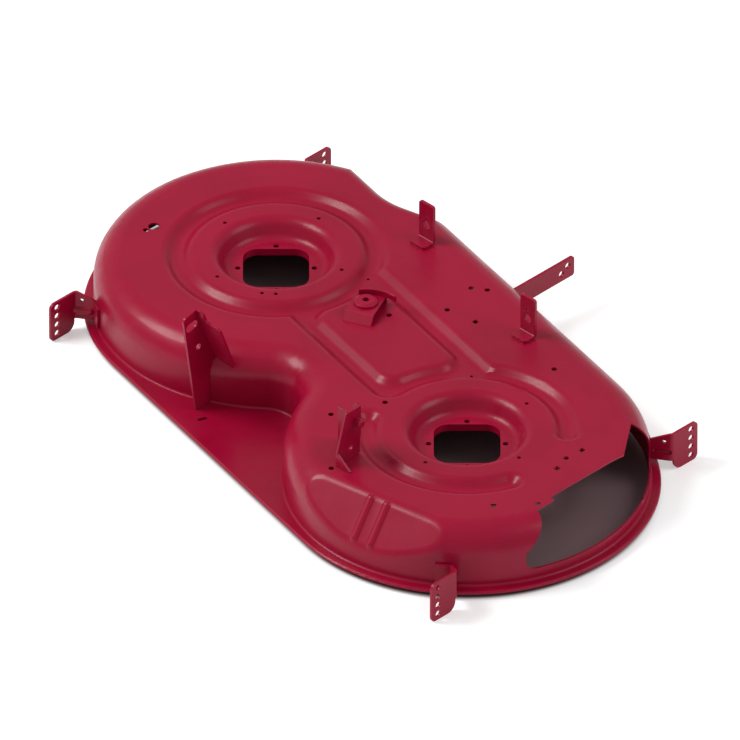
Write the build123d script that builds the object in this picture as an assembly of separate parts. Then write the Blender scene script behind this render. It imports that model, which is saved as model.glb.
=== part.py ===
"""Two-blade lawn mower deck: one pressed-steel shell with its welded brackets, in millimetres.

Frame: +X is the right-hand side of the machine, +Y is forward, +Z is up. The origin is at the middle of the
deck's box, on the ground under the wheel brackets; heights in the values below are from the rim's lower edge.
"""
import os
from math import acos, atan2, cos, degrees, hypot, pi, radians, sin, sqrt, tan

from build123d import *

# Sheet and overall form
SHEET = 3.0
TOP_HEIGHT = 101.0
RIM_CLEARANCE = 10.0
SPINDLE_SPAN = 537.0
SPINDLE_STAGGER = 123.0
WALL_RADIUS = 281.0
SHOULDER_RADIUS = 47.0
WAIST_RADIUS = 57.0

# Rim: the flat flange round the wall, its bends and its turned-down lip
RIM_RADIUS = 297.0
FLANGE_HEIGHT = 4.5
RIM_BEND = 3.5
FLANGE_BEND = 4.0

# Ring beads, island and spindle wells
BEAD_RING_RADIUS = 152.5
BEAD_HALF_WIDTH = 26.5
BEAD_DEPTH = 12.0
BEAD_RADIUS = 17.0
ISLAND_REAR = -27.5
ISLAND_FRONT = 74.5
ISLAND_CORNER = 15.0
TROUGH_CORNER = 40.0
WELL_EDGE_RADIUS = 104.5
WELL_DEPTH = 30.0
WELL_EDGE_BEND = 20.0
WELL_FLOOR_BEND = 15.0
SEAT_RADIUS = 68.0
RIGHT_BEAD_FRONT_END = 54.0
RIGHT_BEAD_REAR_START = 227.0
RIGHT_BEAD_REAR_END = 353.0

# Spindle openings and their bolts
OPENING_WIDTH = 102.0
OPENING_CORNER = 24.0
OPENING_LIP = 9.0
SEAT_BOLT_CIRCLE = 118.0
SEAT_BOLT_COUNT = 4
SEAT_BOLT_HOLE = 9.0
SEAT_TURN = 45.0

# Notch in the front wall beside the left dome
NOTCH_WALL = 229.5
NOTCH_CORNER = -35.0
NOTCH_ANGLE = 25.0
NOTCH_SWEEP = 138.0
NOTCH_SHOULDER = 28.0
NOTCH_REACH = 40.0

# Slanted panel on the right dome
PANEL_HEADING = -68.0
PANEL_SETBACK = 225.0
PANEL_SLOPE = 48.0
PANEL_BEND = 24.0
PANEL_RIB_RADIUS = 9.0
PANEL_RIB_SINK = 5.0
PANEL_RIB_SPACING = 30.0
PANEL_RIB_START = 8.5
PANEL_RIB_END = 72.0

# Discharge opening in the right dome, measured from the right spindle
DISCHARGE_EDGE = 217.0
DISCHARGE_EDGE_REAR = -40.0
DISCHARGE_EDGE_FRONT = 135.0
DISCHARGE_SILL = 23.5
DISCHARGE_CORNER = 16.0
DISCHARGE_TAB = 10.0
DISCHARGE_REAR_TOP = -78.0
DISCHARGE_REAR_LOW = -125.0
DISCHARGE_WING_HEADING = 37.0
DISCHARGE_WING_START = 246.0
DISCHARGE_WING_WIDTH = 100.0

# Punched holes: places are (x, y) from the spindle that they are named for
BELT_HOLE_CIRCLE = 223.0
BELT_HOLE = 6.5
LEFT_BELT_ANGLES = (20, 99, 180, 261, 304, 315)
RIGHT_BELT_ANGLES = (0, 80, 280)
FIXING_HOLE = 9.0
LEFT_FIXING_HOLES = ((280, 144), (301, 158), (295, 77), (242, 4), (-184, -100))
RIGHT_FIXING_HOLES = ((-172, -122), (-71, -222), (-136, -41), (163, 50), (217, -66), (-15, 204))
SQUARE_HOLE = 8.5
LEFT_SQUARE_HOLES = ((348, 85, 0),)
RIGHT_SQUARE_HOLES = ((165, 82, 0), (172, 21, 0), (173, -117, 45))
DRAIN_HOLE = 5.0
LEFT_DRAIN_ANGLE = 23.4
RIGHT_DRAIN_ANGLE = 132.3
WASH_PORT = 18.0
WASH_PORT_PLACE = (-182, -84)
LEDGE_SLOT_LENGTH = 16.0
LEDGE_SLOT_WIDTH = 6.0
LEDGE_SLOT_PLACE = (138, -297)
LEDGE_SLOT_TURN = 70.0

# Clearance between a welded bracket and the pressed skin under it
WELD_GAP = 0.3

# Gauge-wheel brackets: places of the hole columns are (x, y) outwards from the nearest spindle
WHEEL_SHEET = 4.0
WHEEL_BEND = 4.0
WHEEL_HOLE = 10.5
WHEEL_HOLE_PITCH = 16.0
WHEEL_HOLE_COUNT = 4
WHEEL_TOP_HOLE = 49.0
WHEEL_PLATE_FOOT = -RIM_CLEARANCE
WHEEL_PLATE_TOP = 59.0
WHEEL_HOLE_EDGE = 14.0
WHEEL_ARM_SETBACK = 37.0
WHEEL_ARM_TURN = 57.0
WHEEL_ARM_FOOT = 10.0
WHEEL_ARM_DROP = 14.0
WHEEL_WELD_LENGTH = 26.0
WHEEL_RIB_RADIUS = 8.0
WHEEL_RIB_HEIGHT = 25.5
WHEEL_RIB_MARGIN = 10.0
WHEEL_RIB_START = 6.0
WHEEL_ARM_HOLE = 6.0
WHEEL_ARM_HOLE_HEIGHT = 44.5
WHEEL_ARM_HOLE_SETBACK = 8.0
WHEEL_OUTER_CORNER = 9.0
WHEEL_INNER_CORNER = 16.0
WHEEL_PLACES = {
    "wheel_bracket_front_left": (-1, 1, 187.0, 290.5),
    "wheel_bracket_rear_left": (-1, -1, 187.0, 290.5),
    "wheel_bracket_front_right": (1, 1, 192.0, 291.0),
    "wheel_bracket_rear_right": (1, -1, 212.0, 277.0),
}

# Front hangers: places are (x, y) of the plate's rear face from the left spindle
HANGER_SHEET = 5.0
HANGER_WIDTH = 31.0
HANGER_HEIGHT = 70.0
HANGER_FOOT = 21.0
HANGER_BEND = 3.0
HANGER_CORNER = 4.0
HANGER_PIN_HOLE = 14.0
HANGER_PIN_HEIGHT = 31.0
HANGER_SMALL_HOLE = 6.0
HANGER_SMALL_HEIGHT = 46.5
HANGER_PLACES = {"front_hanger_left": (143.0, 183.5), "front_hanger_right": (429.0, 116.5)}

# Front strip, measured from the left spindle
STRIP_SHEET = 5.0
STRIP_PLACE = 303.0
STRIP_REACH = 344.0
STRIP_FOOT = 40.0
STRIP_HEIGHT = 35.0
STRIP_CORNER = 5.0
STRIP_HOLE = 10.5
STRIP_HOLES = ((-14.0, 23.0), (-28.0, 14.0))

# Left lift bracket: plate at this x from the left spindle, outline points are (y from the spindle, z)
LIFT_SHEET = 4.0
LEFT_LIFT_PLACE = 113.0
LEFT_LIFT_FOOT = -287.0
LEFT_LIFT_TOP_REAR = (-314.0, 185.0)
LEFT_LIFT_TOP_FRONT = (-283.0, 193.0)
LEFT_LIFT_BEND_LOW = (-243.5, 87.0)
LEFT_LIFT_CORNER = 7.0
LEFT_LIFT_SLOT = (24.0, 14.0)
LEFT_LIFT_SLOT_PLACE = (-296.0, 166.0)
LEFT_LIFT_SLOT_TURN = 15.0
LIFT_HOLE = 10.5
LEFT_LIFT_HOLE_PLACE = (-282.0, 121.0)
LEFT_FLANGE_NECK = 17.0
LEFT_FLANGE_WIDTH = 46.0
LEFT_FLANGE_SHOULDER = 23.0
LEFT_FLANGE_DROP = 6.0

# Right lift bracket: plate at this x from the right spindle, outline points are (y, height on the top plate)
RIGHT_LIFT_PLACE = -69.5
RIGHT_LIFT_TOE = ((-167.0, 28.0), (-159.5, 35.0))
RIGHT_LIFT_TOP = 88.0
RIGHT_LIFT_TOP_REAR = -193.0
RIGHT_LIFT_HEEL = (-212.5, 22.0)
RIGHT_LIFT_CORNER = 2.5
RIGHT_LIFT_HOLE_PLACE = (-184.0, 22.0)
RIGHT_LEG_WIDTH = 46.0
RIGHT_LEG_HEIGHT = 64.0
RIGHT_LUG_WIDTH = 8.0
RIGHT_LUG_HEIGHT = 90.0
RIGHT_LUG_FOOT = 22.0
RIGHT_LEG_BEND = 3.5
RIGHT_GUSSET_WIDTH = 28.0
RIGHT_GUSSET_TOE = 2.0
STUD_PLACE = (-172.5, 65.0)
STUD_DIAMETER = 13.0
STUD_LENGTH = 14.0
STUD_CHAMFER = 1.2

# Idler bracket on the island, its nut and the belt guide: place is (x, y) from the left spindle
IDLER_PLACE = (207.0, -11.5)
IDLER_TURN = 23.5
IDLER_SHEET = 3.0
IDLER_WIDTH = 47.0
IDLER_FRONT = 26.0
IDLER_BACK = 30.0
IDLER_HEIGHT = 14.0
IDLER_BEND = 3.0
IDLER_SLOPE = 45.0
NUT_FLANGE_DIAMETER = 37.0
NUT_TOP_DIAMETER = 26.0
NUT_FLANGE_HEIGHT = 3.5
NUT_HEIGHT = 6.0
NUT_BORE = 10.5
GUIDE_SHEET = 3.0
GUIDE_HEIGHT = 10.0
GUIDE_START = (-18.0, 15.5)
GUIDE_MIDDLE = (8.0, 25.0)
GUIDE_END = (42.0, 18.5)

# Room for cutting tools to pass the faces that they cut
PASS = 20.0
FAR = 1500.0
FACING = 0.999
SAME_LEVEL = 0.01

# Press frame: x runs from the left spindle to the right one, y is forward
PITCH = hypot(SPINDLE_SPAN, SPINDLE_STAGGER)
PRESS_TURN = degrees(atan2(-SPINDLE_STAGGER, SPINDLE_SPAN))
WAIST_REACH = WALL_RADIUS + WAIST_RADIUS
WAIST_DEPTH = -sqrt(WAIST_REACH ** 2 - (PITCH / 2) ** 2)
WAIST_ANGLE = degrees(atan2(WAIST_DEPTH, PITCH / 2))
BEAD_INNER = BEAD_RING_RADIUS - BEAD_HALF_WIDTH
BEAD_OUTER = BEAD_RING_RADIUS + BEAD_HALF_WIDTH

# Deck frame: the box's middle lies between the spindles, and between the strip's end and the rear rim
LEFT_SPINDLE = Vector(-SPINDLE_SPAN / 2, (SPINDLE_STAGGER + RIM_RADIUS - STRIP_REACH) / 2)
RIGHT_SPINDLE = LEFT_SPINDLE + Vector(SPINDLE_SPAN, -SPINDLE_STAGGER)
AT_LEFT = Pos(LEFT_SPINDLE.X, LEFT_SPINDLE.Y, RIM_CLEARANCE)
AT_RIGHT = Pos(RIGHT_SPINDLE.X, RIGHT_SPINDLE.Y, RIM_CLEARANCE)
IN_PRESS = AT_LEFT * Rot(0, 0, PRESS_TURN)
ON_ISLAND = AT_LEFT * Pos(*IDLER_PLACE, TOP_HEIGHT) * Rot(0, 0, IDLER_TURN)


def pressed_wall(edge, floor, depth, edge_bend, floor_bend, inset):
    """Section of a pressed wall from its floor up to the plate's edge: a bend, a straight run and a bend.

    The line lies `inset` below the upper skin, so the edge's bend shrinks and the floor's grows.
    """
    side = 1 if edge > floor else -1
    run = abs(edge - floor)
    bends = edge_bend + floor_bend
    rise = bends - depth
    slope = atan2(rise, -run) - acos(bends / hypot(run, rise)) - pi / 2

    def on_floor_bend(turn):
        reach = floor_bend + inset
        return (floor + side * reach * sin(turn), floor_bend - depth - reach * cos(turn))

    def on_edge_bend(turn):
        reach = edge_bend - inset
        return (edge - side * reach * sin(turn), reach * cos(turn) - edge_bend)

    return [
        ThreePointArc(on_floor_bend(0), on_floor_bend(slope / 2), on_floor_bend(slope)),
        Line(on_floor_bend(slope), on_edge_bend(slope)),
        ThreePointArc(on_edge_bend(slope), on_edge_bend(slope / 2), on_edge_bend(0)),
    ]


def half_bead(edge, floor, inset):
    """Face above one wall of a bead, from the middle of its floor to the plate's edge."""
    wall = pressed_wall(edge, floor, BEAD_DEPTH, BEAD_RADIUS, BEAD_RADIUS, inset)
    rest = Polyline((edge, -inset), (edge, PASS), (floor, PASS), (floor, -BEAD_DEPTH - inset))
    return make_face(Curve() + wall + [rest])


def whole_bead(middle, inset):
    """Face above both walls of a bead."""
    inner = middle - BEAD_HALF_WIDTH
    outer = middle + BEAD_HALF_WIDTH
    walls = pressed_wall(inner, middle, BEAD_DEPTH, BEAD_RADIUS, BEAD_RADIUS, inset)
    walls += pressed_wall(outer, middle, BEAD_DEPTH, BEAD_RADIUS, BEAD_RADIUS, inset)
    rest = Polyline((inner, -inset), (inner, PASS), (outer, PASS), (outer, -inset))
    return make_face(Curve() + walls + [rest])


def well_section(inset):
    """Face above the seat and wall of a spindle well, from the spindle's axis outwards."""
    floor = -WELL_DEPTH - inset
    wall = pressed_wall(WELL_EDGE_RADIUS, SEAT_RADIUS, WELL_DEPTH, WELL_EDGE_BEND, WELL_FLOOR_BEND, inset)
    rest = Polyline(
        (WELL_EDGE_RADIUS, -inset), (WELL_EDGE_RADIUS, PASS), (0, PASS), (0, floor), (SEAT_RADIUS, floor))
    return make_face(Curve() + wall + [rest])


def turned(section, centre, start=0.0, sweep=360.0):
    """Solid turned from a section about the vertical line through `centre`, at the top plate's height."""
    place = Pos(centre[0], centre[1], TOP_HEIGHT) * Rot(0, 0, start)
    return place * revolve(Plane.XZ * section, Axis.Z, sweep)


def straight(section, start, end):
    """Solid carried along the press frame's x, at the top plate's height."""
    return Pos(start, 0, TOP_HEIGHT) * extrude(Plane.YZ * section, end - start)


def dome_outline(inset):
    """Plan of the two domes: round ends, a straight front and a hollow waist at the rear."""
    wall = WALL_RADIUS - inset
    waist = (PITCH / 2, WAIST_DEPTH)
    return make_face(Curve() + [
        Line((0, wall), (PITCH, wall)),
        CenterArc((0, 0), wall, 90, 270 + WAIST_ANGLE),
        CenterArc(waist, WAIST_RADIUS + inset, -WAIST_ANGLE, 180 + 2 * WAIST_ANGLE),
        CenterArc((PITCH, 0), wall, 180 - WAIST_ANGLE, 270 + WAIST_ANGLE),
    ])


def domes(inset):
    """The two domes with their round shoulder, as a solid block."""
    block = Pos(0, 0, -inset) * extrude(dome_outline(inset), TOP_HEIGHT)
    return fillet(block.edges().group_by(Axis.Z)[-1], SHOULDER_RADIUS - inset)


def notch_keep(inset):
    """Block whose front face has the notch's wall, with its own smaller shoulder."""
    wall = NOTCH_WALL - inset
    bend = NOTCH_SWEEP + inset
    slant = radians(NOTCH_ANGLE)
    bend_start = NOTCH_CORNER - NOTCH_SWEEP * tan(slant / 2)
    bend_middle = NOTCH_WALL + NOTCH_SWEEP
    bend_end = (bend_start + bend * sin(slant), bend_middle - bend * cos(slant))
    front = WALL_RADIUS + NOTCH_REACH
    jog_end = (bend_end[0] + (front - bend_end[1]) / tan(slant), front)
    plan = make_face(Curve() + [
        Line((-FAR, wall), (bend_start, wall)),
        CenterArc((bend_start, bend_middle), bend, 270, NOTCH_ANGLE),
        Polyline(bend_end, jog_end, (FAR, front), (FAR, -FAR), (-FAR, -FAR), (-FAR, wall)),
    ])
    block = Pos(0, 0, -inset) * extrude(plan, TOP_HEIGHT)
    top = block.edges().group_by(Axis.Z)[-1]
    jog = [edge for edge in top if 0 < (edge @ 0.5).Y < front - PASS / 2]
    return fillet(jog, NOTCH_SHOULDER - inset)


def panel_frame(inset):
    """Plane of the slanted panel: x runs along it level, y up the slope, z outwards."""
    heading = radians(PANEL_HEADING)
    outward = Vector(cos(heading), sin(heading), 0)
    normal = outward * sin(radians(PANEL_SLOPE)) + Vector(0, 0, cos(radians(PANEL_SLOPE)))
    edge = Vector(PITCH, 0, TOP_HEIGHT) + outward * PANEL_SETBACK
    return Plane(edge - normal * inset, x_dir=(-outward.Y, outward.X, 0), z_dir=normal)


def with_panel(block, inset):
    """The block cut back to the slanted panel, with the panel's two ribs left standing."""
    frame = panel_frame(inset)
    away = frame * Pos(0, 0, FAR / 2) * Box(FAR, FAR, FAR)
    kept = block - away
    flat = kept.faces().filter_by(GeomType.PLANE)
    panel = [face for face in flat if face.normal_at().dot(frame.z_dir) > FACING][0]
    kept = fillet(panel.outer_wire().edges(), PANEL_BEND - inset)
    radius = PANEL_RIB_RADIUS - inset
    length = PANEL_RIB_END - PANEL_RIB_START
    rib = Rot(90, 0, 0) * Cylinder(radius, length)
    rib += Pos(0, length / 2, 0) * Sphere(radius) + Pos(0, -length / 2, 0) * Sphere(radius)
    rib = frame * Pos(0, -PANEL_RIB_START - length / 2, inset - PANEL_RIB_SINK) * rib
    across = frame.x_dir * (PANEL_RIB_SPACING / 2)
    return kept + Pos(across) * rib + Pos(-across) * rib


def rim(inset):
    """Flat tray under the domes: the flange, its outer bend and its lip."""
    plan = Pos(PITCH / 2, 0) * SlotCenterToCenter(PITCH, 2 * (RIM_RADIUS - inset))
    tray = Pos(0, 0, -inset) * extrude(plan, FLANGE_HEIGHT)
    return fillet(tray.edges().group_by(Axis.Z)[-1], RIM_BEND - inset)


def blank(inset):
    """Domes and rim as one solid, with the bend where the wall turns out into the flange."""
    block = with_panel(domes(inset) & notch_keep(inset), inset) + rim(inset)
    level = FLANGE_HEIGHT - inset
    flat = block.faces().filter_by(Axis.Z)
    flange = [face for face in flat if abs(face.center().Z - level) < SAME_LEVEL][0]
    return fillet(flange.inner_wires()[0].edges(), FLANGE_BEND + inset)


def island_corner(spindle_x, edge):
    """Centre of one rounded island corner, at the spindle's end of an island side."""
    centre_y = edge + ISLAND_CORNER if edge < 0 else edge - ISLAND_CORNER
    reach = sqrt((BEAD_OUTER + ISLAND_CORNER) ** 2 - centre_y ** 2)
    return (reach if spindle_x == 0 else PITCH - reach, centre_y)


def corner_cut(spindle_x, edge, inset):
    """Wall round one island corner, from square to the side round to square to the ring."""
    centre = island_corner(spindle_x, edge)
    to_side = -90.0 if edge < 0 else 90.0
    to_ring = degrees(atan2(-centre[1], spindle_x - centre[0]))
    sweep = (to_ring - to_side + 180) % 360 - 180
    section = half_bead(ISLAND_CORNER, ISLAND_CORNER + BEAD_HALF_WIDTH, inset)
    return turned(section, centre, min(to_side, to_side + sweep), abs(sweep))


def corner_floor(spindle_x, edge, inset):
    """Flat floor between a ring, an island corner and the outer wall of a side bead."""
    outward = -1 if edge < 0 else 1
    line_y = edge + outward * BEAD_HALF_WIDTH
    toward = 1 if spindle_x == 0 else -1
    centre = Vector(*island_corner(spindle_x, edge))
    spindle = Vector(spindle_x, 0)
    meet = Vector(spindle_x + toward * sqrt(BEAD_RING_RADIUS ** 2 - line_y ** 2), line_y)
    foot_side = Vector(centre.X, line_y)
    foot_ring = spindle + (centre - spindle).normalized() * BEAD_RING_RADIUS
    halfway = ((foot_side - centre).normalized() + (foot_ring - centre).normalized()).normalized()
    middle_corner = centre + halfway * (ISLAND_CORNER + BEAD_HALF_WIDTH)
    middle_ring = spindle + ((meet - spindle) + (foot_ring - spindle)).normalized() * BEAD_RING_RADIUS
    plan = make_face(Curve() + [
        Line(meet, foot_side),
        ThreePointArc(foot_side, middle_corner, foot_ring),
        ThreePointArc(foot_ring, middle_ring, meet),
    ])
    floor = TOP_HEIGHT - BEAD_DEPTH - inset
    return Pos(0, 0, floor) * extrude(plan, BEAD_DEPTH + PASS)


def trough_corner():
    """Centre of the big corner where the rear side bead turns into the right-hand ring."""
    centre_y = ISLAND_REAR - 2 * BEAD_HALF_WIDTH + TROUGH_CORNER
    reach = sqrt((BEAD_INNER + TROUGH_CORNER) ** 2 - centre_y ** 2)
    return Vector(PITCH - reach, centre_y)


def trough_floor(inset):
    """Flat floor inside that corner, between the island, the ring and the outer wall."""
    spindle = Vector(PITCH, 0)
    island = Vector(*island_corner(PITCH, ISLAND_REAR))
    outer = trough_corner()
    line_y = ISLAND_REAR - BEAD_HALF_WIDTH
    island_reach = ISLAND_CORNER + BEAD_HALF_WIDTH
    outer_reach = TROUGH_CORNER - BEAD_HALF_WIDTH
    foot_side = Vector(island.X, line_y)
    foot_ring = spindle + (island - spindle).normalized() * BEAD_RING_RADIUS
    turn_side = Vector(outer.X, line_y)
    turn_ring = spindle + (outer - spindle).normalized() * BEAD_RING_RADIUS

    def arc(centre, reach, start, end):
        middle = ((start - centre).normalized() + (end - centre).normalized()).normalized()
        return ThreePointArc(start, centre + middle * reach, end)

    plan = make_face(Curve() + [
        Line(foot_side, turn_side),
        arc(outer, outer_reach, turn_side, turn_ring),
        arc(spindle, BEAD_RING_RADIUS, turn_ring, foot_ring),
        arc(island, island_reach, foot_ring, foot_side),
    ])
    return Pos(0, 0, TOP_HEIGHT - BEAD_DEPTH - inset) * extrude(plan, BEAD_DEPTH + PASS)


def pressings(inset):
    """Everything pressed down into the top plate: wells, ring beads and the beads round the island."""
    left = (0, 0)
    right = (PITCH, 0)
    ring = whole_bead(BEAD_RING_RADIUS, inset)
    end_cap = half_bead(BEAD_HALF_WIDTH, 0, inset)
    corner = trough_corner()
    corner_angle = degrees(atan2(corner.Y, corner.X - PITCH)) % 360

    def ring_point(angle):
        return (PITCH + BEAD_RING_RADIUS * cos(radians(angle)), BEAD_RING_RADIUS * sin(radians(angle)))

    cuts = [turned(well_section(inset), left), turned(well_section(inset), right), turned(ring, left)]
    cuts.append(turned(ring, right, RIGHT_BEAD_FRONT_END, corner_angle - RIGHT_BEAD_FRONT_END))
    cuts.append(turned(end_cap, ring_point(RIGHT_BEAD_FRONT_END), RIGHT_BEAD_FRONT_END - 180, 180))
    cuts.append(turned(ring, right, RIGHT_BEAD_REAR_START, RIGHT_BEAD_REAR_END - RIGHT_BEAD_REAR_START))
    cuts.append(turned(end_cap, ring_point(RIGHT_BEAD_REAR_START), RIGHT_BEAD_REAR_START - 180, 180))
    cuts.append(turned(end_cap, ring_point(RIGHT_BEAD_REAR_END), RIGHT_BEAD_REAR_END, 180))

    for edge in (ISLAND_REAR, ISLAND_FRONT):
        outward = -1 if edge < 0 else 1
        middle = edge + outward * BEAD_HALF_WIDTH
        outer = middle + outward * BEAD_HALF_WIDTH
        ring_meet = sqrt(BEAD_RING_RADIUS ** 2 - middle ** 2)
        outer_end = corner.X if edge == ISLAND_REAR else PITCH - ring_meet
        inner_start = island_corner(0, edge)[0]
        inner_end = island_corner(PITCH, edge)[0]
        cuts.append(straight(half_bead(edge, middle, inset), inner_start, inner_end))
        cuts.append(straight(half_bead(outer, middle, inset), ring_meet, outer_end))
        cuts.append(corner_cut(0, edge, inset))
        cuts.append(corner_cut(PITCH, edge, inset))
        cuts.append(corner_floor(0, edge, inset))

    cuts.append(corner_floor(PITCH, ISLAND_FRONT, inset))
    cuts.append(trough_floor(inset))
    corner_wall = half_bead(TROUGH_CORNER, TROUGH_CORNER - BEAD_HALF_WIDTH, inset)
    to_ring = degrees(atan2(-corner.Y, PITCH - corner.X))
    cuts.append(turned(corner_wall, (corner.X, corner.Y), -90, to_ring + 90))
    return cuts


def pressed(inset):
    """The blank with all its pressings, as a solid whose skin lies `inset` below the upper skin."""
    block = blank(inset)
    for cut in pressings(inset):
        block -= cut
    return block


def upright(plan, low, high):
    """Solid with a plan, between two heights."""
    return Pos(0, 0, low) * extrude(plan, high - low)


def spindle_opening(shell, spindle):
    """The seat's rounded square opening with its turned-down lip, and the bolt holes, at one spindle."""
    seat = TOP_HEIGHT - WELL_DEPTH
    lip_width = OPENING_WIDTH + 2 * SHEET
    lip = Rot(0, 0, SEAT_TURN) * RectangleRounded(lip_width, lip_width, OPENING_CORNER + SHEET)
    cut = Rot(0, 0, SEAT_TURN) * RectangleRounded(OPENING_WIDTH, OPENING_WIDTH, OPENING_CORNER)
    for step in range(SEAT_BOLT_COUNT):
        bolt = Rot(0, 0, SEAT_TURN + step * 360 / SEAT_BOLT_COUNT) * Pos(SEAT_BOLT_CIRCLE / 2, 0)
        cut += bolt * Circle(SEAT_BOLT_HOLE / 2)
    shell += spindle * upright(lip, seat - SHEET - OPENING_LIP, seat)
    return shell - spindle * upright(cut, seat - PASS, TOP_HEIGHT)


def top_holes(circles, squares, belt_angles, drain_angle):
    """Plans of one spindle's share of the punched holes, in one sketch."""
    plan = Sketch()
    for x, y in circles:
        plan += Pos(x, y) * Circle(FIXING_HOLE / 2)
    for x, y, turn in squares:
        plan += Pos(x, y) * Rot(0, 0, turn) * Rectangle(SQUARE_HOLE, SQUARE_HOLE)
    for angle in belt_angles:
        plan += Rot(0, 0, angle) * Pos(BELT_HOLE_CIRCLE / 2, 0) * Circle(BELT_HOLE / 2)
    plan += Rot(0, 0, drain_angle) * Pos(BEAD_RING_RADIUS, 0) * Circle(DRAIN_HOLE / 2)
    return upright(plan, TOP_HEIGHT - BEAD_DEPTH - 2 * SHEET, TOP_HEIGHT + PASS)


def discharge_opening():
    """Tool for the side opening of the right dome, placed from the right spindle."""
    top = TOP_HEIGHT + PASS
    shoulder = TOP_HEIGHT - SHOULDER_RADIUS
    edge_length = DISCHARGE_EDGE_FRONT - DISCHARGE_EDGE_REAR
    edge_middle = (DISCHARGE_EDGE_FRONT + DISCHARGE_EDGE_REAR) / 2
    middle = upright(Pos(edge_middle, 0) * Rectangle(edge_length, 2 * WALL_RADIUS), DISCHARGE_SILL, top)
    middle = Pos(DISCHARGE_EDGE + WALL_RADIUS, 0, 0) * Rot(0, 0, 90) * middle
    rear = make_face(Polyline(
        (DISCHARGE_EDGE_FRONT, top), (DISCHARGE_REAR_TOP, top), (DISCHARGE_REAR_TOP, TOP_HEIGHT),
        (DISCHARGE_REAR_LOW, shoulder), (DISCHARGE_REAR_LOW, DISCHARGE_SILL),
        (DISCHARGE_EDGE_FRONT, DISCHARGE_SILL), close=True))
    rear_corner = rear.vertices().sort_by_distance((DISCHARGE_REAR_LOW, DISCHARGE_SILL, 0))[0]
    rear = fillet(rear_corner, DISCHARGE_CORNER)
    rear = Pos(DISCHARGE_EDGE + DISCHARGE_TAB, 0, 0) * extrude(Plane.YZ * rear, WALL_RADIUS)
    wing_height = top - DISCHARGE_SILL + DISCHARGE_CORNER
    wing = RectangleRounded(DISCHARGE_WING_WIDTH, wing_height, DISCHARGE_CORNER)
    wing = extrude(Plane.YZ * wing, WALL_RADIUS)
    wing = Pos(DISCHARGE_WING_START, 0, DISCHARGE_SILL + wing_height / 2) * wing
    return middle + rear + Rot(0, 0, DISCHARGE_WING_HEADING) * wing


def deck_shell():
    """The pressing: upper skin less lower skin, then everything that is punched through it."""
    shell = IN_PRESS * (pressed(0) - pressed(SHEET))
    shell = spindle_opening(shell, AT_LEFT)
    shell = spindle_opening(shell, AT_RIGHT)
    left_holes = top_holes(LEFT_FIXING_HOLES, LEFT_SQUARE_HOLES, LEFT_BELT_ANGLES, LEFT_DRAIN_ANGLE)
    right_holes = top_holes(RIGHT_FIXING_HOLES, RIGHT_SQUARE_HOLES, RIGHT_BELT_ANGLES, RIGHT_DRAIN_ANGLE)
    wash_port = upright(Circle(WASH_PORT / 2), TOP_HEIGHT - PASS, TOP_HEIGHT + PASS)
    shell -= AT_LEFT * left_holes
    shell -= AT_RIGHT * right_holes
    shell -= AT_LEFT * Pos(*WASH_PORT_PLACE) * wash_port
    slot = Rot(0, 0, LEDGE_SLOT_TURN) * SlotOverall(LEDGE_SLOT_LENGTH, LEDGE_SLOT_WIDTH)
    shell -= AT_LEFT * Pos(*LEDGE_SLOT_PLACE) * upright(slot, 0, PASS)
    return shell - AT_RIGHT * discharge_opening()


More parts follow.
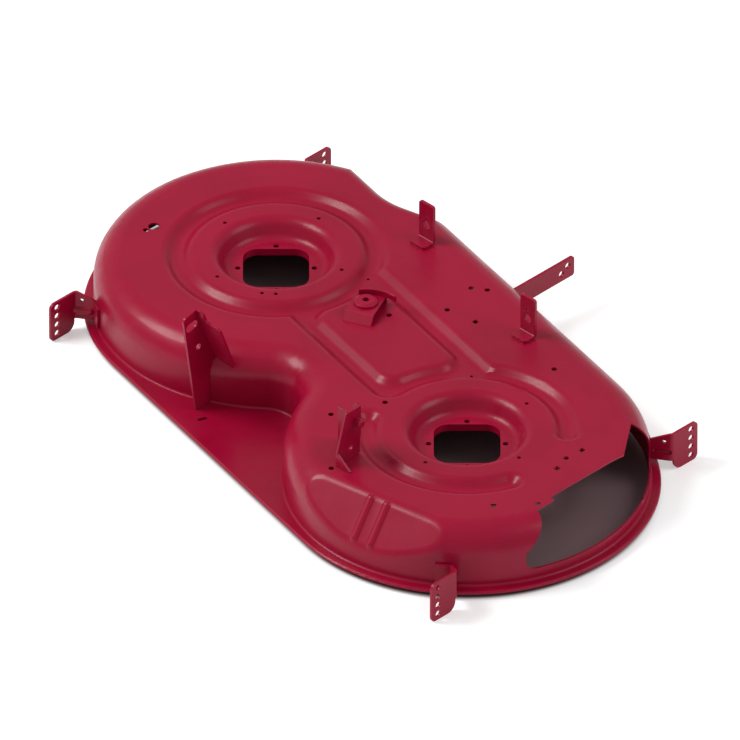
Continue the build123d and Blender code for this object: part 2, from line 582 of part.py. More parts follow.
def wheel_bracket(side_x, side_y, column_x, column_y):
    """One gauge-wheel bracket: plate with height holes, bend, ribbed arm and a weld flange along the wall."""
    half = WHEEL_SHEET / 2
    seat = WALL_RADIUS + WELD_GAP
    bend_outer = WHEEL_BEND + WHEEL_SHEET
    turn = radians(WHEEL_ARM_TURN)
    along = Vector(-sin(turn), -cos(turn))
    bend = Vector(column_x - half - WHEEL_BEND, column_y - WHEEL_ARM_SETBACK)
    start = bend + Vector(cos(turn), -sin(turn)) * (half + WHEEL_BEND)
    nearest = -start.dot(along)
    reach = nearest - sqrt(seat ** 2 - start.length ** 2 + nearest ** 2)

    plate_end = column_y + WHEEL_HOLE_EDGE
    plate = Pos((bend.Y + plate_end) / 2, (WHEEL_PLATE_FOOT + WHEEL_PLATE_TOP) / 2)
    plate *= Rectangle(plate_end - bend.Y, WHEEL_PLATE_TOP - WHEEL_PLATE_FOOT)
    plate = fillet(plate.vertices().group_by(Axis.X)[-1], WHEEL_OUTER_CORNER)
    plate = fillet(plate.vertices().sort_by_distance((bend.Y, WHEEL_PLATE_FOOT, 0))[0], WHEEL_INNER_CORNER)
    for step in range(WHEEL_HOLE_COUNT):
        plate -= Pos(column_y, WHEEL_TOP_HOLE - step * WHEEL_HOLE_PITCH) * Circle(WHEEL_HOLE / 2)
    bracket = Pos(column_x, 0, 0) * extrude(Plane.YZ * plate, half, both=True)

    corner = Pos(bend.X, bend.Y)
    wedge = make_face(Polyline((0, 0), (FAR, 0), (FAR * cos(turn), -FAR * sin(turn)), close=True))
    bend_plan = corner * ((Circle(bend_outer) - Circle(WHEEL_BEND)) & wedge)
    bracket += upright(bend_plan, WHEEL_ARM_FOOT, WHEEL_PLATE_TOP)

    frame = Plane(start, x_dir=along, z_dir=(along.Y, -along.X, 0))
    past = reach + PASS
    past_top = WHEEL_PLATE_TOP - WHEEL_ARM_DROP * past / reach
    arm = make_face(Polyline(
        (0, WHEEL_ARM_FOOT), (past, WHEEL_ARM_FOOT), (past, past_top), (0, WHEEL_PLATE_TOP), close=True))
    arm -= Pos(WHEEL_ARM_HOLE_SETBACK, WHEEL_ARM_HOLE_HEIGHT) * Circle(WHEEL_ARM_HOLE / 2)
    bracket += extrude(frame * arm, half, both=True)

    meet = start + along * reach
    weld_start = atan2(meet.Y, meet.X) - half / seat
    weld_end = weld_start + WHEEL_WELD_LENGTH / seat
    weld = make_face(Polyline(
        (0, 0), (FAR * cos(weld_start), FAR * sin(weld_start)), (FAR * cos(weld_end), FAR * sin(weld_end)),
        close=True))
    weld &= Circle(seat + WHEEL_SHEET) - Circle(seat)
    bracket += upright(weld, WHEEL_ARM_FOOT, WHEEL_PLATE_TOP - WHEEL_ARM_DROP)

    rib_end = reach - WHEEL_RIB_MARGIN
    lay = frame * Pos(0, WHEEL_RIB_HEIGHT, -half)
    run = Pos(rib_end / 2, 0, 0) * Rot(0, 90, 0)
    lead_in = Pos(-WHEEL_RIB_START / 2, 0, 0) * Rot(0, 90, 0)
    hollow_radius = WHEEL_RIB_RADIUS - WHEEL_SHEET
    rib = run * Cylinder(WHEEL_RIB_RADIUS, rib_end) + Pos(rib_end, 0, 0) * Sphere(WHEEL_RIB_RADIUS)
    rib = lay * (rib & Pos(0, 0, FAR / 2) * Box(FAR, FAR, FAR))
    rib_start = lay * lead_in * Cylinder(WHEEL_RIB_RADIUS, WHEEL_RIB_START)
    rib += rib_start & upright(corner * Circle(bend_outer), WHEEL_ARM_FOOT, WHEEL_PLATE_TOP)
    hollow_end = Sphere(hollow_radius)
    hollow = run * Cylinder(hollow_radius, rib_end) + hollow_end + Pos(rib_end, 0, 0) * hollow_end
    bracket += rib
    bracket -= lay * hollow
    bracket -= upright(Circle(seat), WHEEL_PLATE_FOOT, TOP_HEIGHT)
    if side_x < 0:
        bracket = mirror(bracket, Plane.YZ)
    if side_y < 0:
        bracket = mirror(bracket, Plane.XZ)
    return (AT_RIGHT if side_x > 0 else AT_LEFT) * bracket


def front_hanger(place):
    """One L-shaped hanger: upright plate with two holes, foot flat on the top plate."""
    profile = make_face(Polyline(
        (-HANGER_FOOT, 0), (HANGER_SHEET, 0), (HANGER_SHEET, HANGER_HEIGHT), (0, HANGER_HEIGHT),
        (0, HANGER_SHEET), (-HANGER_FOOT, HANGER_SHEET), close=True))
    profile = fillet(profile.vertices().sort_by_distance((0, HANGER_SHEET, 0))[0], HANGER_BEND)
    profile = fillet(profile.vertices().sort_by_distance((HANGER_SHEET, 0, 0))[0], HANGER_BEND + HANGER_SHEET)
    hanger = extrude(Plane.YZ * profile, HANGER_WIDTH / 2, both=True)
    hanger = fillet(hanger.edges().filter_by(Axis.Y).group_by(Axis.Z)[-1], HANGER_CORNER)
    hanger = fillet(hanger.edges().filter_by(Axis.Z).group_by(Axis.Y)[0], HANGER_CORNER)
    for diameter, height in ((HANGER_PIN_HOLE, HANGER_PIN_HEIGHT), (HANGER_SMALL_HOLE, HANGER_SMALL_HEIGHT)):
        hanger -= Pos(0, 0, height) * Rot(90, 0, 0) * Cylinder(diameter / 2, 2 * PASS)
    return AT_LEFT * Pos(place[0], place[1], TOP_HEIGHT) * hanger


def front_strip(skin):
    """Flat lug standing out from the front wall, with two holes near its end."""
    start = STRIP_REACH - WALL_RADIUS
    strip = Rectangle(STRIP_REACH - start, STRIP_HEIGHT)
    strip = Pos((start + STRIP_REACH) / 2, STRIP_FOOT + STRIP_HEIGHT / 2) * strip
    strip = fillet(strip.vertices().group_by(Axis.X)[-1], STRIP_CORNER)
    for back, up in STRIP_HOLES:
        strip -= Pos(STRIP_REACH + back, STRIP_FOOT + up) * Circle(STRIP_HOLE / 2)
    lug = AT_LEFT * Pos(STRIP_PLACE, 0, 0) * extrude(Plane.YZ * strip, STRIP_SHEET / 2, both=True)
    return (lug - skin).solids().sort_by(Axis.Y)[-1]


def lift_bracket_left(skin):
    """Tall plate on the rear ledge against the left dome, with a side flange on its slanted bend."""
    half = LIFT_SHEET / 2
    inside_y = LEFT_LIFT_BEND_LOW[0] + PASS
    plate = make_face(Polyline(
        (LEFT_LIFT_FOOT, 0), LEFT_LIFT_TOP_REAR, LEFT_LIFT_TOP_FRONT, LEFT_LIFT_BEND_LOW,
        (inside_y, LEFT_LIFT_BEND_LOW[1] - PASS), (inside_y, 0), close=True))
    corner = plate.vertices().sort_by_distance((*LEFT_LIFT_TOP_REAR, 0))[0]
    plate = fillet(corner, LEFT_LIFT_CORNER)
    plate -= Pos(*LEFT_LIFT_SLOT_PLACE) * Rot(0, 0, LEFT_LIFT_SLOT_TURN) * SlotOverall(*LEFT_LIFT_SLOT)
    plate -= Pos(*LEFT_LIFT_HOLE_PLACE) * Circle(LIFT_HOLE / 2)
    bracket = Pos(LEFT_LIFT_PLACE, 0, 0) * extrude(Plane.YZ * plate, half, both=True)

    top = Vector(LEFT_LIFT_PLACE - half, *LEFT_LIFT_TOP_FRONT)
    low = Vector(LEFT_LIFT_PLACE - half, *LEFT_LIFT_BEND_LOW)
    bend_length = (low - top).length
    up = (top - low).normalized()
    frame = Plane(top, x_dir=(1, 0, 0), z_dir=Vector(1, 0, 0).cross(up))
    flange = make_face(Polyline(
        (0, 0), (LEFT_FLANGE_NECK, 0), (LEFT_FLANGE_NECK, -LEFT_FLANGE_SHOULDER),
        (LEFT_FLANGE_WIDTH, -LEFT_FLANGE_SHOULDER), (LEFT_FLANGE_WIDTH, -bend_length - LEFT_FLANGE_DROP),
        (0, -bend_length), close=True))
    free_corners = flange.vertices().filter_by_position(Axis.X, LEFT_FLANGE_NECK / 2, FAR)
    flange = fillet(free_corners, LEFT_LIFT_CORNER)
    bracket += extrude(frame * flange, LIFT_SHEET)
    return (AT_LEFT * bracket - skin).solids().sort_by(SortBy.VOLUME)[-1]


def lift_bracket_right(skin):
    """Tall angle on the top plate behind the right well: stud plate, leg across it and a foot gusset."""
    half = LIFT_SHEET / 2
    heel_y = RIGHT_LIFT_HEEL[0]
    toe_y = RIGHT_LIFT_TOE[0][0]
    front_y = RIGHT_LIFT_TOE[1][0]
    plate = make_face(Polyline(
        (toe_y, -PASS), *RIGHT_LIFT_TOE, (front_y, RIGHT_LIFT_TOP), (RIGHT_LIFT_TOP_REAR, RIGHT_LIFT_TOP),
        RIGHT_LIFT_HEEL, (heel_y, -PASS), close=True))
    corner = plate.vertices().sort_by_distance((RIGHT_LIFT_TOP_REAR, RIGHT_LIFT_TOP, 0))[0]
    plate = fillet(corner, RIGHT_LIFT_CORNER)
    plate -= Pos(*RIGHT_LIFT_HOLE_PLACE) * Circle(LIFT_HOLE / 2)
    bracket = extrude(Plane.YZ * plate, half, both=True)

    leg = make_face(Polyline(
        (half, RIGHT_LIFT_TOE[1][1]), (half, RIGHT_LIFT_TOP), (-RIGHT_LUG_WIDTH, RIGHT_LUG_HEIGHT),
        (-RIGHT_LUG_FOOT, RIGHT_LEG_HEIGHT), (-RIGHT_LEG_WIDTH, RIGHT_LEG_HEIGHT), (-RIGHT_LEG_WIDTH, -PASS),
        (-half, -PASS), (-half, RIGHT_LIFT_TOE[1][1]), close=True))
    bracket += Pos(0, front_y, 0) * extrude(Plane.XZ * leg, LIFT_SHEET)
    bend = bracket.edges().filter_by(Axis.Z).sort_by_distance((half, front_y, RIGHT_LIFT_TOP / 2))[0]
    bracket = fillet(bend, RIGHT_LEG_BEND)

    gusset = make_face(Polyline(
        (-half, -PASS), (-half, RIGHT_LIFT_HEEL[1]), (half, RIGHT_LIFT_HEEL[1]),
        (RIGHT_GUSSET_WIDTH, RIGHT_GUSSET_TOE), (RIGHT_GUSSET_WIDTH, -PASS), close=True))
    bracket += Pos(0, heel_y + LIFT_SHEET, 0) * extrude(Plane.XZ * gusset, LIFT_SHEET)
    bracket = AT_RIGHT * Pos(RIGHT_LIFT_PLACE, 0, TOP_HEIGHT) * bracket
    return (bracket - skin).solids().sort_by(SortBy.VOLUME)[-1]


def lift_stud():
    """Round stud welded square to the right lift bracket's plate."""
    stud = chamfer(Cylinder(STUD_DIAMETER / 2, STUD_LENGTH).edges().group_by(Axis.Z)[-1], STUD_CHAMFER)
    face_x = RIGHT_LIFT_PLACE + (LIFT_SHEET + STUD_LENGTH) / 2
    return AT_RIGHT * Pos(face_x, STUD_PLACE[0], TOP_HEIGHT + STUD_PLACE[1]) * Rot(0, 90, 0) * stud


def idler_bracket():
    """Raised plate with an upright leg at the back and a sloping one in front, standing on the island."""
    slope = radians(IDLER_SLOPE)
    under = IDLER_HEIGHT - IDLER_SHEET
    outer = make_face(Polyline(
        (-IDLER_FRONT - IDLER_HEIGHT / tan(slope), 0), (-IDLER_FRONT, IDLER_HEIGHT),
        (IDLER_BACK, IDLER_HEIGHT), (IDLER_BACK, 0), close=True))
    outer = fillet(outer.vertices().group_by(Axis.Y)[-1], IDLER_BEND + IDLER_SHEET)
    inner_front = IDLER_SHEET * tan(slope / 2) - IDLER_FRONT
    inner_back = IDLER_BACK - IDLER_SHEET
    inner = make_face(Polyline(
        (inner_front - (under + PASS) / tan(slope), -PASS), (inner_front, under), (inner_back, under),
        (inner_back, -PASS), close=True))
    inner = fillet(inner.vertices().group_by(Axis.Y)[-1], IDLER_BEND)
    bracket = extrude(Plane.YZ * (outer - inner), IDLER_WIDTH / 2, both=True)
    return ON_ISLAND * (bracket - upright(Circle(NUT_BORE / 2), under - PASS / 2, IDLER_HEIGHT + PASS))


def idler_nut():
    """Round weld nut with a cone above its flange, on the middle of the idler bracket."""
    section = make_face(Polyline(
        (NUT_BORE / 2, 0), (NUT_FLANGE_DIAMETER / 2, 0), (NUT_FLANGE_DIAMETER / 2, NUT_FLANGE_HEIGHT),
        (NUT_TOP_DIAMETER / 2, NUT_HEIGHT), (NUT_BORE / 2, NUT_HEIGHT), close=True))
    return ON_ISLAND * Pos(0, 0, IDLER_HEIGHT) * revolve(Plane.XZ * section, Axis.Z)


def belt_guide():
    """Curved finger standing on the idler bracket behind the nut."""
    plan = trace(ThreePointArc(GUIDE_START, GUIDE_MIDDLE, GUIDE_END), GUIDE_SHEET)
    return ON_ISLAND * upright(plan, IDLER_HEIGHT, IDLER_HEIGHT + GUIDE_HEIGHT)


skin = IN_PRESS * blank(-WELD_GAP)
nodes = {"deck_shell": deck_shell()}
for name, place in WHEEL_PLACES.items():
    nodes[name] = wheel_bracket(*place)
for name, place in HANGER_PLACES.items():
    nodes[name] = front_hanger(place)
nodes["front_strip"] = front_strip(skin)
nodes["lift_bracket_left"] = lift_bracket_left(skin)
nodes["lift_bracket_right"] = lift_bracket_right(skin)
nodes["lift_stud"] = lift_stud()
nodes["idler_bracket"] = idler_bracket()
nodes["idler_nut"] = idler_nut()
nodes["belt_guide"] = belt_guide()

os.makedirs("parts", exist_ok=True)
for name, solid in nodes.items():
    export_step(solid, f"parts/{name}.step")
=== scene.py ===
"""Looks of the painted two-blade mower deck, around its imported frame. Lengths are in metres."""
from math import acos, atan2, cos, hypot, pi, radians, sin, sqrt

import bmesh
import bpy
import numpy as np
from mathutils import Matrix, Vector


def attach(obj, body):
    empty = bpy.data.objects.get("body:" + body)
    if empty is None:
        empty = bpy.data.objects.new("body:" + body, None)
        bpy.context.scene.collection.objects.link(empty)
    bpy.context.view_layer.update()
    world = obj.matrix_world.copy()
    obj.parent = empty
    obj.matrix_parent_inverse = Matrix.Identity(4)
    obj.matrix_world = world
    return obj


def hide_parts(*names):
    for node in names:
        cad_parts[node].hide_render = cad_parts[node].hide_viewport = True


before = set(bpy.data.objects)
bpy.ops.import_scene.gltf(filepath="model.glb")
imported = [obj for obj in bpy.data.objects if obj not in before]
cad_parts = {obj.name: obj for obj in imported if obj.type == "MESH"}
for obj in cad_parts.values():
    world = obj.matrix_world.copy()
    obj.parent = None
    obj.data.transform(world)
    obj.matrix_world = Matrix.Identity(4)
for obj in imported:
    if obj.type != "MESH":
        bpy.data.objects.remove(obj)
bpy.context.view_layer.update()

# Places of the deck's main points in the shared frame
LEFT_SPINDLE = Vector((-0.2685, 0.038, 0.0))
RIGHT_SPINDLE = Vector((0.2685, -0.085, 0.0))
SPINDLE_LINE = RIGHT_SPINDLE - LEFT_SPINDLE
TOP_HEIGHT = 0.111
RIM_RADIUS = 0.297

# Ring beads, and the island between the domes
BEAD_RING_RADIUS = 0.1525
BEAD_WIDTH = 0.0265
BEAD_DEPTH = 0.012
BEAD_BEND = 0.017
ISLAND_REAR = -0.0275
ISLAND_CORNER = 0.015

# Painted copies of the CAD meshes: the pressing, and every other piece with its rounded edges
PRESSING = "deck_shell"
MERGE_DISTANCE = 2e-6
SMOOTH_ANGLE = radians(32.0)
FLAT_ANGLE = radians(0.6)
EDGE_ROUNDING = 0.0005
EDGE_SEGMENTS = 2
EDGE_ANGLE = radians(40.0)

# Wall round the island's corner: its cells, and how far off a face may lie or lean and still count
CORNER_CELL = 0.0015
CORNER_TURN_PLAY = 0.001
CORNER_HEIGHT_PLAY = 0.0001
LEAST_RISE = -0.3

# Paint colours, linear, and gloss
PAINT_RED = (0.300, 0.0012, 0.0265)
PAINT_DARK = (0.255, 0.0010, 0.0215)
PAINT_IOR = 1.5
PAINT_SPECULAR = 0.2
PAINT_COAT = 0.06
PAINT_COAT_ROUGHNESS = 0.12
PAINT_ROUGHNESS_LOW = 0.28
PAINT_ROUGHNESS_HIGH = 0.40

# Noises of the paint, each with its scale per metre, detail and roughness, and where they take effect
DRIFT_NOISE = (7.0, 3.0, 0.55)
DRIFT_FROM = 0.3
DRIFT_TO = 0.62
HAZE_NOISE = (26.0, 4.0, 0.6)
HAZE_FROM = 0.3
HAZE_TO = 0.7
PEEL_NOISE = (620.0, 1.5, 0.4)
PEEL_STRENGTH = 0.10
PEEL_HEIGHT = 0.0004

# Floor colours, linear, and its size
FLOOR_GREY = (0.82, 0.82, 0.82)
# Painted shade under the deck, with a faint red tint for painted light bounced off the paint
FLOOR_PAINTED_SHADE = (0.20, 0.13, 0.14)
FLOOR_ROUGHNESS = 0.9
FLOOR_SPECULAR = 0.1
FLOOR_GLOW = 0.32
FLOOR_RAMP = 0.010
FLOOR_REACH = 30.0

# Camera: a true isometric view, from far away with a long lens
IMAGE_SIZE = 740
VIEW_AZIMUTH = radians(45.0)
VIEW_ELEVATION = radians(35.264)
PIXEL = 0.001538
LEFT_SPINDLE_PIXEL = (276.0, 252.0)
CAMERA_DISTANCE = 50.0
CAMERA_CLIP = 200.0
SENSOR_WIDTH = 36.0

# Studio light: lamp places and sizes in metres, powers in watts
WHITE = (1.0, 1.0, 1.0, 1.0)
WORLD_STRENGTH = 0.5
LAMP_AIM = Vector((0.0, 0.0, 0.05))
KEY_PLACE = Vector((-2.2, -2.0, 3.2))
KEY_SIZE = 1.8
KEY_POWER = 138.0
FILL_PLACE = Vector((2.6, 1.6, 2.6))
FILL_SIZE = 2.2
FILL_POWER = 50.0


def link(obj):
    """Put an object into the scene's own collection."""
    bpy.context.scene.collection.objects.link(obj)
    return obj


def node(tree, kind, **values):
    """Add a shader node and set its named sockets."""
    made = tree.nodes.new(kind)
    for name, value in values.items():
        made.inputs[name.replace("_", " ")].default_value = value
    return made


def calc(tree, kind, operation, *values):
    """Add a maths node and return its outputs; each value is a socket to link or a constant to set."""
    made = tree.nodes.new(kind)
    made.operation = operation
    for socket, value in zip(made.inputs, values):
        if isinstance(value, bpy.types.NodeSocket):
            tree.links.new(value, socket)
        else:
            socket.default_value = value
    return made.outputs


def maths(tree, operation, *values):
    """Value socket of a maths node."""
    return calc(tree, "ShaderNodeMath", operation, *values)["Value"]


def vector_maths(tree, operation, *values):
    """Outputs of a vector maths node."""
    return calc(tree, "ShaderNodeVectorMath", operation, *values)


def ramp_between(tree, value, low_at, low_colour, high_at, high_colour):
    """Colour socket that goes from one colour to another as a value rises."""
    ramp = tree.nodes.new("ShaderNodeValToRGB")
    low_end, high_end = ramp.color_ramp.elements
    low_end.position = low_at
    low_end.color = (*low_colour, 1.0)
    high_end.position = high_at
    high_end.color = (*high_colour, 1.0)
    tree.links.new(value, ramp.inputs["Fac"])
    return ramp.outputs["Color"]


def noise(tree, place, kind):
    """Value socket of a noise at a place; its kind is the scale per metre, the detail and the roughness."""
    scale, detail, roughness = kind
    made = node(tree, "ShaderNodeTexNoise", Scale=scale, Detail=detail, Roughness=roughness)
    tree.links.new(place, made.inputs["Vector"])
    return made.outputs["Fac"]


def red_paint():
    """Baked-on red paint: faint shade drift, an orange-peel skin and a gloss that varies softly."""
    material = bpy.data.materials.new("red_paint")
    material.use_nodes = True
    tree = material.node_tree
    shader = tree.nodes["Principled BSDF"]
    shader.inputs["Metallic"].default_value = 0.0
    shader.inputs["IOR"].default_value = PAINT_IOR
    shader.inputs["Specular IOR Level"].default_value = PAINT_SPECULAR
    shader.inputs["Coat Weight"].default_value = PAINT_COAT
    shader.inputs["Coat Roughness"].default_value = PAINT_COAT_ROUGHNESS
    place = tree.nodes.new("ShaderNodeTexCoord").outputs["Object"]

    drift = noise(tree, place, DRIFT_NOISE)
    shade = ramp_between(tree, drift, DRIFT_FROM, PAINT_DARK, DRIFT_TO, PAINT_RED)
    tree.links.new(shade, shader.inputs["Base Color"])

    gloss = node(tree, "ShaderNodeMapRange", From_Min=HAZE_FROM, From_Max=HAZE_TO,
                 To_Min=PAINT_ROUGHNESS_LOW, To_Max=PAINT_ROUGHNESS_HIGH)
    tree.links.new(noise(tree, place, HAZE_NOISE), gloss.inputs["Value"])
    tree.links.new(gloss.outputs["Result"], shader.inputs["Roughness"])

    bump = node(tree, "ShaderNodeBump", Strength=PEEL_STRENGTH, Distance=PEEL_HEIGHT)
    tree.links.new(noise(tree, place, PEEL_NOISE), bump.inputs["Height"])
    tree.links.new(bump.outputs["Normal"], shader.inputs["Normal"])
    return material


def bead_depth(run):
    """Depth of a bead's wall at a run out from its edge.

    The wall is an arc, a straight slope and an arc. The slope's angle is that of the line that touches both
    arcs, whose centres lie BEAD_WIDTH apart across and twice BEAD_BEND less BEAD_DEPTH apart in height.
    Both arcs have the radius BEAD_BEND and turn through that angle, so the depth is the fall of the first
    arc, the share of the straight fall, and what the last arc has left.
    """
    bends = 2 * BEAD_BEND
    rise = bends - BEAD_DEPTH
    slope = atan2(rise, -BEAD_WIDTH) - acos(bends / hypot(BEAD_WIDTH, rise)) - pi / 2
    bend_run = BEAD_BEND * sin(slope)
    bend_fall = BEAD_BEND * (1 - cos(slope))
    first = BEAD_BEND - np.sqrt(BEAD_BEND ** 2 - np.clip(run, 0.0, bend_run) ** 2)
    last = BEAD_BEND - np.sqrt(BEAD_BEND ** 2 - np.clip(BEAD_WIDTH - run, 0.0, bend_run) ** 2)
    share = np.clip((run - bend_run) / (BEAD_WIDTH - 2 * bend_run), 0.0, 1.0)
    return first + share * (BEAD_DEPTH - 2 * bend_fall) + bend_fall - last


def island_corner():
    """Centre of the island's rear right corner, and the directions along and across the spindles' line.

    The corner is a round of the radius ISLAND_CORNER between the island's rear edge and the edge of the
    right ring bead. So its centre lies one radius in from the rear edge, and one radius out from the bead:
    the reach along the line is the root of the distance to the spindle squared less the side squared.
    """
    along = SPINDLE_LINE.normalized()
    across = Vector((-along.y, along.x, 0.0))
    side = ISLAND_REAR + ISLAND_CORNER
    reach = sqrt((BEAD_RING_RADIUS + BEAD_WIDTH + ISLAND_CORNER) ** 2 - side ** 2)
    return RIGHT_SPINDLE - along * reach + across * side, along, across


def around_corner(places):
    """Distance and turn of points about the centre of the island's rear right corner.

    The distance is the root of the sum of the squares of the runs along and across the spindles' line, and
    the turn is the angle from the first direction to the second.
    """
    centre, along, across = island_corner()
    offset = places - np.array(centre)
    run_along = offset @ np.array(along)
    run_across = offset @ np.array(across)
    return np.hypot(run_along, run_across), np.arctan2(run_across, run_along)


def bisect(shape, faces, place, normal):
    """Cut faces along a plane and return the faces that they become."""
    edges = {edge for face in faces for edge in face.edges}
    verts = {vert for face in faces for vert in face.verts}
    cut = bmesh.ops.bisect_plane(
        shape, geom=[*faces, *edges, *verts], dist=MERGE_DISTANCE, plane_co=place, plane_no=normal)
    return [part for part in cut["geom"] if isinstance(part, bmesh.types.BMFace)]


def open_corner(shape):
    """Take the step at the island's rear right corner off the upper skin.

    Its sector is closed again with small cells, which are the only selected faces of the shape.
    """
    centre, along, across = island_corner()
    size = ISLAND_CORNER + BEAD_WIDTH
    to_ring = RIGHT_SPINDLE - centre
    first_turn = -pi / 2 - CORNER_TURN_PLAY
    last_turn = atan2(to_ring @ across, to_ring @ along) + CORNER_TURN_PLAY

    def on_plate(face):
        """Whether a face lies on the top plate or higher."""
        return min(vert.co.z for vert in face.verts) > TOP_HEIGHT - CORNER_HEIGHT_PLAY

    def on_step(face):
        """Whether a face of the upper skin lies in the sector, above the bead's floor."""
        distance, turn = around_corner(np.array(face.calc_center_median()))
        in_sector = first_turn < turn < last_turn and distance < size
        high_point = max(vert.co.z for vert in face.verts)
        above_floor = high_point > TOP_HEIGHT - BEAD_DEPTH + CORNER_HEIGHT_PLAY
        return in_sector and above_floor and face.normal.z > LEAST_RISE

    shape.normal_update()
    for normal in (along, Vector((-to_ring.y, to_ring.x, 0.0))):
        bisect(shape, [face for face in shape.faces if on_plate(face)], centre, normal)
    bmesh.ops.delete(shape, geom=[face for face in shape.faces if on_step(face)], context="FACES")
    border = [edge for edge in shape.edges if edge.is_boundary]
    cells = bmesh.ops.holes_fill(shape, edges=border, sides=0)["faces"]
    for run in np.arange(CORNER_CELL, size, CORNER_CELL):
        cells = bisect(shape, cells, centre + along * run, along)
        cells = bisect(shape, cells, centre - across * run, across)
    for cell in cells:
        cell.select = True


def press_corner(mesh):
    """Press the wall round the island's rear right corner into its selected cells.

    Each point goes below the top plate by bead_depth of its distance past ISLAND_CORNER, all the way
    round the corner.
    """
    places = np.empty(3 * len(mesh.vertices))
    mesh.vertices.foreach_get("co", places)
    places = places.reshape(-1, 3)
    chosen = np.empty(len(mesh.vertices), dtype=bool)
    mesh.vertices.foreach_get("select", chosen)
    distance, _ = around_corner(places[chosen])
    places[chosen, 2] = TOP_HEIGHT - bead_depth(distance - ISLAND_CORNER)
    mesh.vertices.foreach_set("co", places.ravel())


def deselect(mesh):
    """Clear the selection of a mesh's points, edges and faces."""
    for parts in (mesh.vertices, mesh.edges, mesh.polygons):
        parts.foreach_set("select", np.zeros(len(parts), dtype=bool))


def painted(name, material):
    """A merged, smooth-shaded copy of one CAD node, which it stands for.

    The pressing gets the wall round its island's corner, and every other piece gets rounded edges.
    """
    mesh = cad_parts[name].data.copy()
    mesh.name = "painted_" + name
    deselect(mesh)
    shape = bmesh.new()
    shape.from_mesh(mesh)
    bmesh.ops.remove_doubles(shape, verts=shape.verts, dist=MERGE_DISTANCE)
    if name == PRESSING:
        open_corner(shape)
    else:
        bmesh.ops.dissolve_limit(shape, angle_limit=FLAT_ANGLE, verts=shape.verts, edges=shape.edges)
    shape.to_mesh(mesh)
    shape.free()
    if name == PRESSING:
        press_corner(mesh)
    mesh.shade_smooth()
    mesh.set_sharp_from_angle(angle=SMOOTH_ANGLE)
    mesh.materials.clear()
    mesh.materials.append(material)
    piece = link(bpy.data.objects.new("painted_" + name, mesh))
    if name != PRESSING:
        edges = piece.modifiers.new("edge_rounding", "BEVEL")
        edges.width = EDGE_ROUNDING
        edges.segments = EDGE_SEGMENTS
        edges.limit_method = "ANGLE"
        edges.angle_limit = EDGE_ANGLE
        edges.harden_normals = True
    normals = piece.modifiers.new("even_normals", "WEIGHTED_NORMAL")
    normals.keep_sharp = True
    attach(piece, "root")
    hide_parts(name)


def outside_rim(tree):
    """Socket that is 0 on the floor under the deck, where the shade is painted, and 1 outside the rim.

    The rim's plan is every point within RIM_RADIUS of the line from spindle to spindle. The nearest point
    of that line lies at the share dot(offset, line) / length squared, held between 0 and 1, and the value
    ramps up with the distance to it.
    """
    place = tree.nodes.new("ShaderNodeTexCoord").outputs["Object"]
    offset = vector_maths(tree, "SUBTRACT", place, LEFT_SPINDLE)["Vector"]
    line_share = SPINDLE_LINE / SPINDLE_LINE.length_squared
    share = vector_maths(tree, "DOT_PRODUCT", offset, line_share)["Value"]
    held = maths(tree, "MAXIMUM", maths(tree, "MINIMUM", share, 1.0), 0.0)
    nearest = vector_maths(tree, "MULTIPLY", held, SPINDLE_LINE)["Vector"]
    away = vector_maths(tree, "DISTANCE", offset, nearest)["Value"]
    ramp = node(tree, "ShaderNodeMapRange", From_Min=RIM_RADIUS - FLOOR_RAMP, From_Max=RIM_RADIUS)
    ramp.interpolation_type = "SMOOTHSTEP"
    tree.links.new(away, ramp.inputs["Value"])
    return ramp.outputs["Result"]


def stage_floor():
    """Pale floor, white to the camera, with painted shade under the deck; it still takes the deck's shadow.
    """
    mesh = bpy.data.meshes.new("floor")
    sides = ((-1, -1), (1, -1), (1, 1), (-1, 1))
    corners = [(FLOOR_REACH * x, FLOOR_REACH * y, 0.0) for x, y in sides]
    mesh.from_pydata(corners, [], [(0, 1, 2, 3)])
    floor = link(bpy.data.objects.new("floor", mesh))
    material = bpy.data.materials.new("floor_white")
    material.use_nodes = True
    tree = material.node_tree
    shader = tree.nodes["Principled BSDF"]
    shader.inputs["Roughness"].default_value = FLOOR_ROUGHNESS
    shader.inputs["Specular IOR Level"].default_value = FLOOR_SPECULAR
    outside = outside_rim(tree)
    # Painted shade: the floor's colour turns dark and faintly red under the deck
    colour = ramp_between(tree, outside, 0.0, FLOOR_PAINTED_SHADE, 1.0, FLOOR_GREY)
    tree.links.new(colour, shader.inputs["Base Color"])
    path = tree.nodes.new("ShaderNodeLightPath").outputs
    mirrored = maths(tree, "MAXIMUM", path["Is Glossy Ray"], path["Is Transmission Ray"])
    seen = maths(tree, "MAXIMUM", path["Is Camera Ray"], mirrored)
    # No glow under the deck, which deepens the painted shade there
    seen_outside = maths(tree, "MULTIPLY", seen, outside)
    glow = maths(tree, "MULTIPLY", seen_outside, FLOOR_GLOW)
    shader.inputs["Emission Color"].default_value = WHITE
    tree.links.new(glow, shader.inputs["Emission Strength"])
    mesh.materials.append(material)


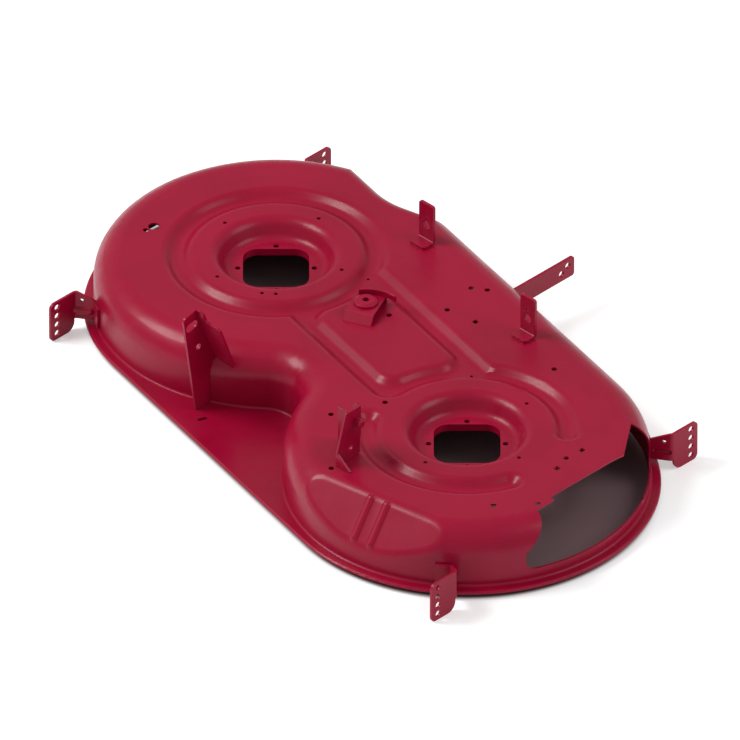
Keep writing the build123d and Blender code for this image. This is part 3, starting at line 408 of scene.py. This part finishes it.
def view_axes():
    """Unit vectors of the picture: to its right, up it, and back towards the camera."""
    level = cos(VIEW_ELEVATION)
    right = Vector((cos(VIEW_AZIMUTH), sin(VIEW_AZIMUTH), 0.0))
    back = Vector((sin(VIEW_AZIMUTH) * level, -cos(VIEW_AZIMUTH) * level, sin(VIEW_ELEVATION)))
    return right, back.cross(right), back


def set_camera():
    """Far camera whose middle is placed so that the left spindle lands on its own pixel."""
    right, up, back = view_axes()
    spindle = LEFT_SPINDLE + Vector((0.0, 0.0, TOP_HEIGHT))
    middle = IMAGE_SIZE / 2
    aim = spindle + right * (middle - LEFT_SPINDLE_PIXEL[0]) * PIXEL
    aim -= up * (middle - LEFT_SPINDLE_PIXEL[1]) * PIXEL
    lens = bpy.data.cameras.new("camera")
    lens.sensor_width = SENSOR_WIDTH
    lens.lens = SENSOR_WIDTH * CAMERA_DISTANCE / (IMAGE_SIZE * PIXEL)
    lens.clip_end = CAMERA_CLIP
    camera = link(bpy.data.objects.new("camera", lens))
    camera.location = aim + back * CAMERA_DISTANCE
    camera.rotation_euler = back.to_track_quat("Z", "Y").to_euler()
    bpy.context.scene.camera = camera


def soft_lamp(name, place, size, power):
    """Square soft box at a place, facing the deck's middle."""
    light = bpy.data.lights.new(name, "AREA")
    light.size = size
    light.energy = power
    lamp = link(bpy.data.objects.new(name, light))
    lamp.location = place
    lamp.rotation_euler = (place - LAMP_AIM).to_track_quat("Z", "Y").to_euler()


def set_light():
    """Plain studio: an even pale world, a wide key lamp from the rear left and a weaker fill."""
    world = bpy.data.worlds.new("studio")
    world.use_nodes = True
    background = world.node_tree.nodes["Background"]
    background.inputs["Color"].default_value = WHITE
    background.inputs["Strength"].default_value = WORLD_STRENGTH
    bpy.context.scene.world = world
    soft_lamp("key_lamp", KEY_PLACE, KEY_SIZE, KEY_POWER)
    soft_lamp("fill_lamp", FILL_PLACE, FILL_SIZE, FILL_POWER)


paint = red_paint()
for cad_name in sorted(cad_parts):
    painted(cad_name, paint)
stage_floor()
set_camera()
set_light()
bpy.context.scene.view_settings.view_transform = "Standard"
